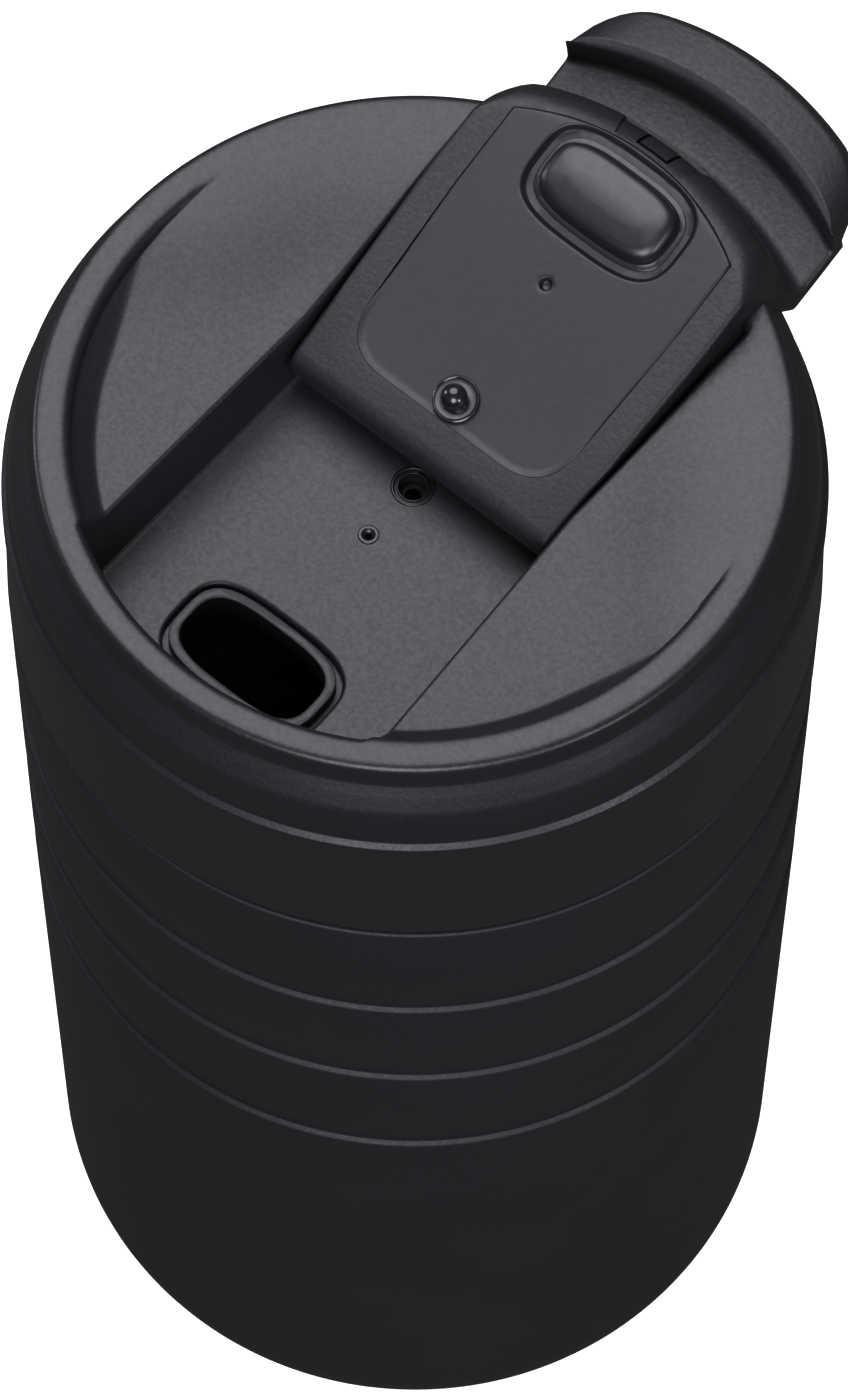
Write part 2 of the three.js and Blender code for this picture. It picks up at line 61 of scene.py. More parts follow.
LINER_R = 36.1
LINER_FOOT_R = 34.0
LINER_FLOOR_Z = 7.2
LINER_WALL = 0.6
LINER_STRAIGHT_Z = 135  # above this the liner no longer widens
RIM_R = 37.4
RIM_Z = 152.9
RIM_ROLL = 0.8
COLLAR_IN_R = 37.5
COLLAR_R = 38.6
COLLAR_LOW_Z = 140.9
COLLAR_HIGH_Z = 151.5
PAD_R = 24.5
PAD_HEIGHT = 1.4
PAD_CHANNEL = (20.5, 22.0)  # the ring-shaped channel under the pad
PAD_CHANNEL_DEEP = 0.35
GASKET_IN_R = 34.9
GASKET_R = 38.2
GASKET_Z = (153.2, 154.5)

THREAD_LEAD = 12.0  # rise in one full turn
RIB_HEIGHT = 2.0
RIB_STEP = 2.5  # degrees
RIB_RUN_OUT = 12  # degrees
MALE_RIB = dict(inner=38.3, outer=39.9, sweep=150, z_start=144.6)
FEMALE_RIB = dict(inner=40.9, outer=39.1, sweep=120, z_start=142.1)

LID_R = 43.5
LID_BOTTOM_Z = 139.6
LID_BORE_R = 42.0
BEAD_R = 38.2  # the crest of the bead round the rim
BEAD_TUBE = 1.84
BEAD_Z = 169.5  # the height from which the bead rounds over
LEDGE_Z = 159.6
FLOOR_Z = 158.5  # the channel's floor at y = 0
FLOOR_RISE = 0.045
FLOOR_UNDER_Z = 156.65
DECK_Z = 168.2  # the shoulders beside the channel at y = 0
DECK_RISE = 0.035

HINGE_Y = 3.8
HINGE_Z = 162.9
OPEN_TILT = math.radians(18.2)
FLAP_HALF = 17.5
FLAP_WIDEN = 0.04  # growth of the half width per mm from the hinge
FLAP_FACE = 3.7  # the flap's inner face above the pin
CHANNEL_CLEAR = 0.25
SAG_R = 40.0  # radius of the flap's bow across its width

SIP_Y = -26.4
SIP_HOLE = (16.4, 8.6)
SIP_RING = 1.1
SIP_RING_RISE = 0.7
SIP_MOAT = 0.55
SOCKET_Y = -0.3
SOCKET_R = 2.35
SOCKET_BORE_R = 1.55
VENT_Y = -7.6
VENT_R = 1.1
VENT_BORE_R = 0.32
CAP_BORE_R = 0.9
CAP_BORE_Z = (150, 160)  # past the disc on both sides
CAP_TOP_Z = 156.3
CAP_UNDER_Z = 154.8
CAP_R = 41.7
CAP_SKIRT_Z = 140.2
CAP_SKIRT_IN_R = 40.5
CAP_RIB_Z = 149


def floor_at(y):
    return FLOOR_Z + FLOOR_RISE * y


def deck_at(y):
    return DECK_Z + DECK_RISE * y


def wall_r(z):
    return BASE_R + WALL_RISE * z


def channel_half(y):
    return FLAP_HALF + CHANNEL_CLEAR + FLAP_WIDEN * np.abs(y - HINGE_Y)


def smoothstep(v, low, high):
    t = np.clip((v - low) / (high - low), 0.0, 1.0)
    return t * t * (3 - 2 * t)


# ---------- outlines ----------
def arc(cr, cz, radius, start, end, steps):
    """Points of an arc, with its angles in degrees."""
    angles = np.radians(np.linspace(start, end, steps + 1))
    return [(cr + radius * math.cos(a), cz + radius * math.sin(a)) for a in angles]


def rounded(corners, steps=5, closed=True):
    """An outline whose (a, b, radius) corners are rounded."""
    out = []
    count = len(corners)
    for i, (a, b, radius) in enumerate(corners):
        if radius <= 0 or (not closed and i in (0, count - 1)):
            out.append((a, b))
            continue
        here = np.array((a, b))
        back = np.array(corners[i - 1][:2]) - here
        ahead = np.array(corners[(i + 1) % count][:2]) - here
        reach = 0.49 * min(np.linalg.norm(back), np.linalg.norm(ahead))
        back = back / np.linalg.norm(back)
        ahead = ahead / np.linalg.norm(ahead)
        half = math.acos(np.clip(back @ ahead, -1, 1)) / 2
        run = min(radius / math.tan(half), reach)
        middle = (back + ahead) / np.linalg.norm(back + ahead)
        centre = here + middle * run / math.cos(half)
        first = here + back * run - centre
        last = here + ahead * run - centre
        turn = math.atan2(first[0] * last[1] - first[1] * last[0], first @ last)
        for k in range(steps + 1):
            c, s = math.cos(turn * k / steps), math.sin(turn * k / steps)
            out.append((centre[0] + c * first[0] - s * first[1], centre[1] + s * first[0] + c * first[1]))
    return out


def oblong(size, grow=0.0, centre=0.0, power=3.3, count=96):
    """A rounded oblong, long in x, as an array of points."""
    t = np.linspace(0, 2 * math.pi, count, endpoint=False)
    a, b = size[0] / 2 + grow, size[1] / 2 + grow
    x = a * np.sign(np.cos(t)) * np.abs(np.cos(t)) ** (2 / power)
    y = b * np.sign(np.sin(t)) * np.abs(np.sin(t)) ** (2 / power)
    return np.column_stack((x, centre + y))


def circle(radius, y=0.0, count=48):
    t = np.linspace(0, 2 * math.pi, count, endpoint=False)
    return np.column_stack((radius * np.cos(t), y + radius * np.sin(t)))


def distance(points, loop):
    """Distance from each point to a closed loop, below zero inside it."""
    best = np.full(len(points), np.inf)
    inside = np.zeros(len(points), bool)
    for a, b in zip(loop, np.roll(loop, -1, axis=0)):
        run = b - a
        t = np.clip((points - a) @ run / (run @ run), 0, 1)
        best = np.minimum(best, np.linalg.norm(points - a - t[:, None] * run, axis=1))
        spans = (a[1] > points[:, 1]) != (b[1] > points[:, 1])
        with np.errstate(divide="ignore", invalid="ignore"):
            cross = a[0] + (points[:, 1] - a[1]) * run[0] / run[1]
        inside ^= spans & (points[:, 0] < cross)
    return np.where(inside, -best, best)


# ---------- meshes ----------
class Shell:
    """Vertices in millimetres and the faces on them."""

    def __init__(self):
        self.verts = []
        self.faces = []

    def add(self, points):
        start = len(self.verts)
        self.verts.extend(tuple(map(float, p)) for p in points)
        return list(range(start, len(self.verts)))

    def strip(self, ring, following, closed=True):
        """Quads, or triangles at a point, between two rings."""
        count = max(len(ring), len(following))
        for i in range(count if closed else count - 1):
            j = (i + 1) % count
            corners = [ring[i % len(ring)], ring[j % len(ring)]]
            corners += [following[j % len(following)], following[i % len(following)]]
            self.faces.append(tuple(dict.fromkeys(corners)))

    def loft(self, rings, closed=False):
        for ring, following in zip(rings, rings[1:] + (rings[:1] if closed else [])):
            self.strip(ring, following)


def lathe(outline, segments=SEGMENTS, closed=True, y=0.0):
    """An outline of (radius, height) turned about a vertical axis at y."""
    shell = Shell()
    turn = np.linspace(0, 2 * math.pi, segments, endpoint=False)
    rings = []
    for r, z in outline:
        if r < 1e-6:
            rings.append(shell.add([(0, y, z)]))
        else:
            ring = np.column_stack((r * np.cos(turn), y + r * np.sin(turn), np.full(segments, z)))
            rings.append(shell.add(ring))
    shell.loft(rings, closed)
    return shell


def stack(layers):
    """A closed solid through [(loop, height)] layers with equal counts, capped at both ends."""
    shell = Shell()
    rings = [shell.add(np.column_stack((loop, np.full(len(loop), z)))) for loop, z in layers]
    shell.loft(rings)
    shell.faces.append(tuple(rings[0]))
    shell.faces.append(tuple(rings[-1]))
    return shell


def triangulate(loops, lines, spots, holes):
    """A flat mesh through closed loops, open lines and single points, open inside the holes."""
    points, edges = [], []
    for chain, closed in [(c, True) for c in loops] + [(c, False) for c in lines]:
        start, count = len(points), len(chain)
        points.extend(chain)
        edges += [(start + i, start + (i + 1) % count) for i in range(count if closed else count - 1)]
    points.extend(spots)
    vectors = [Vector((float(p[0]), float(p[1]))) for p in points]
    flat, _, faces, _, _, _ = delaunay_2d_cdt(vectors, edges, [], 0, 1e-4)
    flat = np.array([tuple(p) for p in flat])
    faces = np.array([tuple(f) for f in faces if len(f) == 3])
    middle = flat[faces].mean(axis=1)
    keep = np.ones(len(faces), bool)
    for hole in holes:
        keep &= distance(middle, hole) > 0
    keep &= distance(middle, loops[0]) < 0
    return flat, faces[keep]


def open_edges(faces):
    """Directed edges that only one triangle uses."""
    used = {}
    for f in faces:
        for a, b in ((f[0], f[1]), (f[1], f[2]), (f[2], f[0])):
            used[(a, b)] = True
    return [(a, b) for a, b in used if (b, a) not in used]


def place(name, shell, material, body, replaces=(), sharp=38.0, frame_of=None, cuts=(), joins=()):
    """Makes the piece's object, in metres, and ties it to its CAD body."""
    mesh = bpy.data.meshes.new(name)
    mesh.from_pydata([frame_of(*v) if frame_of else v for v in shell.verts], [], shell.faces)
    piece = bpy.data.objects.new(name, mesh)
    bpy.context.scene.collection.objects.link(piece)
    tidy_normals(mesh)
    for operation, shells in (("UNION", joins), ("DIFFERENCE", cuts)):
        for tool in shells:
            combine(piece, tool, operation, frame_of)
    mesh = piece.data
    mesh.transform(Matrix.Scale(MM, 4))
    mesh.materials.clear()
    mesh.materials.append(material)
    shade(mesh, sharp)
    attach(piece, body)
    if replaces:
        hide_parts(*replaces)
    return piece


def tidy_normals(mesh):
    """Merges doubled points and turns the faces outwards."""
    work = bmesh.new()
    work.from_mesh(mesh)
    bmesh.ops.remove_doubles(work, verts=work.verts, dist=1e-5)
    bmesh.ops.dissolve_degenerate(work, edges=work.edges, dist=1e-5)
    bmesh.ops.recalc_face_normals(work, faces=work.faces)
    work.to_mesh(mesh)
    work.free()


def shade(mesh, sharp):
    """Smooth faces, with edges sharper than an angle kept sharp."""
    work = bmesh.new()
    work.from_mesh(mesh)
    for face in work.faces:
        face.smooth = True
        face.material_index = 0
    for edge in work.edges:
        edge.smooth = edge.calc_face_angle(math.pi) < math.radians(sharp)
    work.to_mesh(mesh)
    work.free()


def combine(piece, shell, operation, frame_of):
    """Joins a solid to the piece, or cuts it out."""
    mesh = bpy.data.meshes.new("tool")
    mesh.from_pydata([frame_of(*v) if frame_of else v for v in shell.verts], [], shell.faces)
    tidy_normals(mesh)
    tool = bpy.data.objects.new("tool", mesh)
    bpy.context.scene.collection.objects.link(tool)
    modifier = piece.modifiers.new("combine", "BOOLEAN")
    modifier.object = tool
    modifier.operation = operation
    modifier.solver = "EXACT"
    bpy.context.view_layer.update()
    graph = bpy.context.evaluated_depsgraph_get()
    made = bpy.data.meshes.new_from_object(piece.evaluated_get(graph))
    piece.modifiers.clear()
    piece.data = made
    bpy.data.objects.remove(tool)


# ---------- materials ----------
class Nodes:
    """A short way to wire a material's nodes."""

    def __init__(self, name):
        self.material = bpy.data.materials.new(name)
        self.material.use_nodes = True
        self.tree = self.material.node_tree
        self.shader = self.tree.nodes["Principled BSDF"]
        self.place = self.tree.nodes.new("ShaderNodeTexCoord").outputs["Object"]

    def node(self, kind, **settings):
        made = self.tree.nodes.new(kind)
        for key, value in settings.items():
            setattr(made, key, value)
        return made

    def link(self, source, target):
        self.tree.links.new(source, target)

    def noise(self, scale, detail=2.0, rough=0.5, stretch=(1, 1, 1)):
        mapping = self.node("ShaderNodeMapping")
        mapping.inputs["Scale"].default_value = stretch
        self.link(self.place, mapping.inputs["Vector"])
        made = self.node("ShaderNodeTexNoise")
        made.inputs["Scale"].default_value = scale
        made.inputs["Detail"].default_value = detail
        made.inputs["Roughness"].default_value = rough
        self.link(mapping.outputs["Vector"], made.inputs["Vector"])
        return made.outputs["Fac"]

    def between(self, source, low, high, start=0.3, end=0.7):
        made = self.node("ShaderNodeMapRange")
        for key, value in (("From Min", start), ("From Max", end), ("To Min", low), ("To Max", high)):
            made.inputs[key].default_value = value
        self.link(source, made.inputs["Value"])
        return made.outputs["Result"]

    def colours(self, source, dark, light):
        made = self.node("ShaderNodeMix", data_type="RGBA")
        made.inputs[6].default_value = (*dark, 1)
        made.inputs[7].default_value = (*light, 1)
        self.link(self.between(source, 0, 1), made.inputs["Factor"])
        self.link(made.outputs[2], self.shader.inputs["Base Color"])

    def bump(self, source, height, distance, onto=None):
        made = self.node("ShaderNodeBump")
        made.inputs["Strength"].default_value = height
        made.inputs["Distance"].default_value = distance
        self.link(source, made.inputs["Height"])
        if onto is not None:
            self.link(onto, made.inputs["Normal"])
        self.link(made.outputs["Normal"], self.shader.inputs["Normal"])
        return made.outputs["Normal"]


def moulded(name, dark, light, rough, grain, depth, specular, polished=None):
    """Plastic, paint or rubber with a fine grain, a slow mottle and uneven gloss. Depth is in metres."""
    made = Nodes(name)
    mottle = made.noise(60, 5)
    fine = made.noise(grain, 3, 0.6)
    coarse = made.noise(grain * 0.6, 2)
    made.colours(mottle, dark, light)
    gloss = made.between(fine, rough[0], rough[1], 0.35, 0.65)
    if polished:
        low, high, smooth = polished
        split = made.node("ShaderNodeSeparateXYZ")
        made.link(made.place, split.inputs["Vector"])
        worn = made.between(split.outputs["Z"], 1.0, smooth, low, high)
        scaled = made.node("ShaderNodeMath", operation="MULTIPLY")
        made.link(gloss, scaled.inputs[0])
        made.link(worn, scaled.inputs[1])
        gloss = scaled.outputs["Value"]
    made.link(gloss, made.shader.inputs["Roughness"])
    first = made.bump(coarse, 0.25, depth)
    made.bump(fine, 0.6, depth, first)
    made.shader.inputs["Specular IOR Level"].default_value = specular
    return made.material


def turned_steel(name):
    """Stainless steel with fine turning marks round the axis."""
    made = Nodes(name)
    marks = made.noise(900, 3, 0.6, (0.02, 0.02, 1))
    made.colours(marks, (0.27, 0.27, 0.28), (0.33, 0.33, 0.34))
    made.link(made.between(marks, 0.22, 0.36), made.shader.inputs["Roughness"])
    made.bump(marks, 0.3, 0.00003)
    made.shader.inputs["Metallic"].default_value = 1
    return made.material


BEAD_POLISH = (0.1694, 0.1706, 0.85)  # between these heights in metres the roughness falls to this share
COAT = moulded(
    "dark_coat", (0.0150, 0.0155, 0.0178), (0.0176, 0.0182, 0.0206),
    rough=(0.46, 0.56), grain=2200, depth=0.00002, specular=0.5,
)
LID = moulded(
    "lid_plastic", (0.0120, 0.0125, 0.0146), (0.0142, 0.0148, 0.0170),
    rough=(0.38, 0.48), grain=2000, depth=0.000035, specular=0.7, polished=BEAD_POLISH,
)
FLAP = moulded(
    "flap_plastic", (0.0120, 0.0124, 0.0145), (0.0142, 0.0147, 0.0170),
    rough=(0.42, 0.54), grain=1900, depth=0.00008, specular=0.7,
)
PLATE = moulded(
    "plate_plastic", (0.0115, 0.0119, 0.0140), (0.0135, 0.0139, 0.0162),
    rough=(0.38, 0.46), grain=1500, depth=0.00002, specular=0.7,
)
PLUG = moulded(
    "plug_rubber", (0.0110, 0.0114, 0.0132), (0.0128, 0.0132, 0.0152),
    rough=(0.33, 0.39), grain=1200, depth=0.000008, specular=0.9,
)
STUD = moulded(
    "stud_rubber", (0.0110, 0.0114, 0.0132), (0.0128, 0.0132, 0.0152),
    rough=(0.16, 0.22), grain=1500, depth=0.000006, specular=0.9,
)
PAD = moulded(
    "pad_silicone", (0.0180, 0.0182, 0.0195), (0.0215, 0.0218, 0.0232),
    rough=(0.6, 0.72), grain=1800, depth=0.00002, specular=0.4,
)
SEAL = moulded(
    "seal_silicone", (0.27, 0.28, 0.30), (0.31, 0.32, 0.34),
    rough=(0.45, 0.55), grain=1600, depth=0.00001, specular=0.4,
)
STEEL = turned_steel("turned_steel")


# ---------- the vessel ----------
def groove(z):
    """A shallow ring: a short lower flank that faces up under a long gentle one."""
    return [
        (wall_r(z - GROOVE_LOWER), z - GROOVE_LOWER, 0.5),
        (wall_r(z) - GROOVE_DEPTH, z, 0.3),
        (wall_r(z + GROOVE_UPPER), z + GROOVE_UPPER, 6.0),
    ]


def vessel_outline():
    """The steel shell: foot, grooved wall, neck, and back down inside."""
    fillet_r = BASE_R - FILLET_R
    fillet_z = FILLET_R + SHELL_Z
    foot = [(r, z, 0) for r, z in arc(fillet_r, fillet_z, FILLET_R, -90, 0, 28)]
    wall = [corner for z in GROOVE_ZS for corner in groove(z)]
    neck = [
        (wall_r(SHOULDER_Z), SHOULDER_Z, 0.45),
        (NECK_R, SHOULDER_Z, 0.8),
        (NECK_R, NECK_TOP_Z, 0.2),
        (NECK_R - SHELL_WALL, NECK_TOP_Z, 0.2),
        (NECK_R - SHELL_WALL, SHOULDER_Z - SHELL_WALL, 0.4),
        (wall_r(SHOULDER_Z) - SHOULDER_IN, SHOULDER_Z - SHELL_WALL, 0.4),
    ]
    back = [(r, z, 0) for r, z in arc(fillet_r, fillet_z, FILLET_R - FOOT_WALL, 0, -90, 20)]
    return rounded(foot + wall + neck + back, 6)


def liner_outline():
    """The cup: its outside up to the rolled rim, and its inside back down."""
    outside = [
        (0.0, LINER_FLOOR_Z, 0),
        (LINER_FOOT_R, LINER_FLOOR_Z, 9.9),
        (LINER_R, LINER_STRAIGHT_Z, 0),
        (LINER_R, RIM_Z - RIM_ROLL, 0.2),
        (RIM_R, RIM_Z - RIM_ROLL, 0.15),
    ]
    inside = [
        (RIM_R, RIM_Z, 0.4),
        (LINER_R - LINER_WALL, RIM_Z, 0.5),
        (LINER_R - LINER_WALL, LINER_STRAIGHT_Z, 0),
        (LINER_FOOT_R - LINER_WALL, LINER_FLOOR_Z + LINER_WALL, 9.3),
        (0.0, LINER_FLOOR_Z + LINER_WALL, 0),
    ]
    return rounded(outside + inside, 8, closed=False)


def helical_rib(shell, start, inner, outer, sweep, z_start):
    """A thread rib whose ends run out into the cylinder."""
    steps = int(sweep / RIB_STEP)
    rings = []
    for i in range(steps + 1):
        turn = sweep * i / steps
        a = math.radians(start + turn)
        z = z_start + THREAD_LEAD * turn / 360
        edge = min(turn, sweep - turn) / RIB_RUN_OUT
        top = inner + (outer - inner) * float(smoothstep(edge, 0.0, 1.0))
        half = RIB_HEIGHT / 2
        section = [(inner, -half), (top, -half / 2), (top, half / 2), (inner, half)]
        rings.append(shell.add([(r * math.cos(a), r * math.sin(a), z + h) for r, h in section]))
    for ring, following in zip(rings, rings[1:]):
        shell.strip(ring, following)
    shell.faces.append(tuple(rings[0]))
    shell.faces.append(tuple(rings[-1]))


def collar_shell():
    """The ring round the neck with its two male ribs."""
    outline = [
        (COLLAR_IN_R, COLLAR_LOW_Z, 0.1),
        (COLLAR_R, COLLAR_LOW_Z, 0.3),
        (COLLAR_R, COLLAR_HIGH_Z, 0.4),
        (COLLAR_IN_R, COLLAR_HIGH_Z, 0.1),
    ]
    shell = lathe(rounded(outline, 3), 180)
    for start in (0, 180):
        helical_rib(shell, start, **MALE_RIB)
    return shell


def pad_shell():
    """A disc with a shallow ring-shaped channel underneath."""
    low, high = PAD_CHANNEL
    outline = [
        (0, 0, 0), (low, 0, 0), (low + 0.4, PAD_CHANNEL_DEEP, 0.15), (high - 0.4, PAD_CHANNEL_DEEP, 0.15),
        (high, 0, 0), (PAD_R - 0.6, 0, 0.4), (PAD_R, 0.6, 0.3), (PAD_R, PAD_HEIGHT, 0.1), (0, PAD_HEIGHT, 0),
    ]
    return lathe(rounded(outline, 4, closed=False), 160, closed=False)


def gasket_shell():
    low, high = GASKET_Z
    outline = [(GASKET_IN_R, low, 0.3), (GASKET_R, low, 0.3), (GASKET_R, high, 0.3), (GASKET_IN_R, high, 0.3)]
    return lathe(rounded(outline, 4), 160)


place("vessel_body", lathe(vessel_outline()), COAT, "mug", ("outer_shell",))
place("steel_liner", lathe(liner_outline(), 180, closed=False), STEEL, "mug", ("inner_liner",))
place("threaded_collar", collar_shell(), LID, "mug", ("neck_collar",), sharp=50)
place("foot_pad", pad_shell(), PAD, "mug", ("base_pad",))
place("seal_ring", gasket_shell(), SEAL, "lid_seal", ("lid_gasket",))


# ---------- the lid's top ----------
COVE_TOP_R = 36.42  # where the bead's inner side hangs plumb over the channel
BEAD_POWER = 3.6  # above 2, the bead's top is flatter than a circle
DECK_TUBE = 2.35  # how far the bead reaches in over the shoulders
DECK_COVE_R = 33.5  # where the shoulders' slope up to the bead starts
STEP_STARTS = (65, 79)  # degrees from the back between which that slope takes over
STEP_SOFT = 0.3  # how softly a shoulder meets it
SOFT_FROM_R = 18.0  # at the back, where the shoulders' long rise to the bead starts
SOFT_TO_R = BEAD_R + 0.6  # and where it would level off
SOFT_ENDS = (71, 114)  # degrees from the back between which that rise runs out
CHANNEL_COVE_R = 32.2
CHANNEL_POWER = 2.6
CHANNEL_SINK = 1.0  # how far the channel's cove starts below its floor, which leaves a crease
RAMP_U = 4.5  # the ramp starts this far along the open flap from its pin
RAMP_N = 1.9  # and this far under it
RAMP_Y = HINGE_Y + RAMP_U * math.cos(OPEN_TILT) + RAMP_N * math.sin(OPEN_TILT)
RAMP_Z = HINGE_Z + RAMP_U * math.sin(OPEN_TILT) - RAMP_N * math.cos(OPEN_TILT)
RAMP_LIP = 0.4
WALL_DRAFT = 0.35  # how far the channel's sides lean out
FOOT_ROUND = 0.45
EDGE_ROUND = 0.55
SIP_EDGE_ROUND = 0.55
SWEEP = np.radians(np.linspace(0, 90, 7))
FOOT_D = -FOOT_ROUND * (1 - np.sin(SWEEP))
FOOT_H = FOOT_ROUND * (1 - np.cos(SWEEP))
EDGE_D = WALL_DRAFT + EDGE_ROUND * (1 - np.cos(SWEEP))
EDGE_H = EDGE_ROUND * (1 - np.sin(SWEEP))


def crown_z(r, reach=BEAD_TUBE):
    """The bead's top at a radius inside its crest, where it reaches in so far."""
    t = np.clip((BEAD_R - r) / reach, 0, 1)
    return BEAD_Z + BEAD_TUBE * (1 - t**BEAD_POWER) ** (1 / BEAD_POWER)


def channel_side(r, base):
    """The bead's tall concave side at the front of the channel."""
    t = np.clip((r - CHANNEL_COVE_R) / (COVE_TOP_R - CHANNEL_COVE_R), 0, 1)
    low = base - CHANNEL_SINK
    cove = low + (crown_z(COVE_TOP_R) - low) * (1 - (1 - t**CHANNEL_POWER) ** (1 / CHANNEL_POWER))
    return np.where(r >= COVE_TOP_R, crown_z(r), np.maximum(cove, base))


def deck_height(x, y):
    """The two shoulders: the step up to the bead runs out to nothing towards the back."""
    r = np.hypot(x, y)
    base = deck_at(y)
    from_back = np.degrees(np.arctan2(np.abs(x), y))
    rising = smoothstep(r, SOFT_FROM_R, SOFT_TO_R) / smoothstep(BEAD_R, SOFT_FROM_R, SOFT_TO_R)
    soft = base + (BEAD_Z + BEAD_TUBE - base) * rising * (1 - smoothstep(from_back, *SOFT_ENDS))
    top_r = BEAD_R - DECK_TUBE
    slope = base + (BEAD_Z - base) * (r - DECK_COVE_R) / (top_r - DECK_COVE_R)
    side = np.where(r >= top_r, crown_z(r, DECK_TUBE), slope)
    share = np.clip(0.5 + 0.5 * (side - soft) / STEP_SOFT, 0, 1)
    joined = soft + (side - soft) * share + STEP_SOFT * share * (1 - share) * (r < top_r)
    return soft + (joined - soft) * smoothstep(from_back, *STEP_STARTS)


def channel_height(x, y):
    """The channel's floor, and behind the hinge the ramp that the open flap lies on."""
    ramp = RAMP_Z + math.tan(OPEN_TILT) * (y - RAMP_Y)
    step = np.clip((y - RAMP_Y + RAMP_LIP) / RAMP_LIP, 0, 1)
    base = np.where(y > RAMP_Y, ramp, floor_at(y) + (RAMP_Z - floor_at(y)) * step)
    sunk = channel_side(np.hypot(x, y), base)
    return np.minimum(sunk, deck_height(x, y))


def sip_loop(grow):
    """A line that runs round the spout's opening in the channel's floor."""
    return oblong(SIP_HOLE, SIP_RING + SIP_MOAT + grow, SIP_Y, count=120)


SIP_EDGE = sip_loop(0)


def lid_height(flat):
    """Height of the lid's top: channel, leaning sides with rounded foot and edge, shoulders."""
    x, y = flat[:, 0], flat[:, 1]
    low, high = channel_height(x, y), deck_height(x, y)
    rise = np.maximum(high - low, 0)
    small = np.minimum(1, rise / (FOOT_ROUND + EDGE_ROUND) * 0.9)
    d = np.abs(x) - channel_half(y)
    foot = small * np.interp(d, FOOT_D, FOOT_H)
    edge = rise - small * np.interp(d, EDGE_D, EDGE_H)
    share = np.clip(d / WALL_DRAFT, 0, 1)
    wall = small * FOOT_ROUND * (1 - share) + (rise - small * EDGE_ROUND) * share
    z = low + np.where(d <= 0, foot, np.where(d >= WALL_DRAFT, edge, wall))
    lip = np.clip(1 - distance(flat, SIP_EDGE) / SIP_EDGE_ROUND, 0, 1)
    return z - SIP_EDGE_ROUND * (1 - np.sqrt(1 - lip**2))


def channel_lines(distances):
    """Lines that follow the channel's sides at set distances outside them."""
    lines = []
    front = np.linspace(-BEAD_R, HINGE_Y, 48)
    back = np.linspace(HINGE_Y, BEAD_R, 40)[1:]
    ys = np.concatenate((front, back))
    for d in distances:
        xs = channel_half(ys) + d
        keep = np.hypot(xs, ys) < BEAD_R - 0.05
        for side in (-1, 1):
            lines.append(np.column_stack((side * xs, ys))[keep])
    return lines


def lid_outside():
    """The outside from the bead's crest down to the rim, and the bore back up."""
    bead = []
    for a in np.radians(np.linspace(86, 0, 18)):
        bead.append((
            BEAD_R + (BEAD_TUBE + 0.1) * math.cos(a) ** (2 / BEAD_POWER),
            BEAD_Z + BEAD_TUBE * math.sin(a) ** (2 / BEAD_POWER),
            0,
        ))
    flare = [
        (40.3, 168.3, 1.0),
        (41.1, 167.1, 3.0),
        (42.2, 165.3, 3.0),
        (42.6, 163.4, 3.0),
        (LID_R - 0.62, LEDGE_Z + 0.62, 0.4),
        (LID_R, LEDGE_Z, 0.25),
        (LID_R - 0.02, 156.45, 0.25),
        (LID_R - 0.25, 155.9, 0.3),
        (LID_R - 0.05, LID_BOTTOM_Z + 0.55, 0.5),
        (LID_R - 0.5, LID_BOTTOM_Z, 0.35),
        (LID_BORE_R, LID_BOTTOM_Z, 0.3),
        (LID_BORE_R, FLOOR_UNDER_Z, 0.0),
    ]
    return rounded(bead + flare, 5, closed=False)


def lid_shell():
    """The lid's top over its flat underside, hung inside the outer surface."""
    crown = [BEAD_R, 37.9, 37.55, 37.2, 36.9, 36.65, 36.5, COVE_TOP_R]
    steep = [36.39, 36.36, 36.3, 36.2, 36.08, 35.98, 35.92, 35.9, 35.84, 35.7]
    cove = [35.5, 35.2, 34.9, 34.55, 34.2, 33.9, 33.6, 33.3, 33.0]
    loops = [circle(r, count=SEGMENTS) for r in crown + steep + cove]
    loops += [sip_loop(grow) for grow in (0, 0.04, 0.12, 0.24, 0.4, 0.56, 1.2)]
    socket, vent = circle(SOCKET_R + 0.06, SOCKET_Y), circle(VENT_R + 0.05, VENT_Y, 36)
    loops += [socket, vent, circle(SOCKET_R + 0.7, SOCKET_Y), circle(VENT_R + 0.6, VENT_Y, 36)]
    lines = channel_lines([*FOOT_D, WALL_DRAFT / 2, *EDGE_D, EDGE_D[-1] + 0.8])
    half = float(channel_half(RAMP_Y)) - 0.6
    for y in (RAMP_Y - RAMP_LIP, RAMP_Y):
        lines.append(np.column_stack((np.linspace(-half, half, 24), np.full(24, y))))
    grid = np.arange(-33, 33.1, 1.5)
    spots = [(x, y) for x in grid for y in grid if math.hypot(x, y) < 32.6]
    holes = [SIP_EDGE, socket, vent]
    spots = [p for p in spots if min(distance(np.array([p]), hole)[0] for hole in holes) > 0.3]
    flat, faces = triangulate(loops, lines, spots, holes)
    shell = Shell()
    top = shell.add(np.column_stack((flat, lid_height(flat))))
    under = shell.add(np.column_stack((flat, np.full(len(flat), FLOOR_UNDER_Z))))
    count = len(flat)
    shell.faces += [tuple(int(i) for i in f) for f in faces]
    shell.faces += [tuple(int(i) + count for i in reversed(f)) for f in faces]
    crest = []
    for a, b in open_edges(faces):
        if math.hypot(*flat[a]) > BEAD_R - 0.02 and math.hypot(*flat[b]) > BEAD_R - 0.02:
            crest.append(a)
        else:
            shell.faces.append((int(b), int(a), int(a) + count, int(b) + count))
    crest.sort(key=lambda i: math.atan2(flat[i][1], flat[i][0]))
    angles = [math.atan2(flat[i][1], flat[i][0]) for i in crest]
    rings = [[top[i] for i in crest]]
    for r, z in lid_outside():
        rings.append(shell.add([(r * math.cos(a), r * math.sin(a), z) for a in angles]))
    rings.append([under[i] for i in crest])
    shell.loft(rings)
    return shell


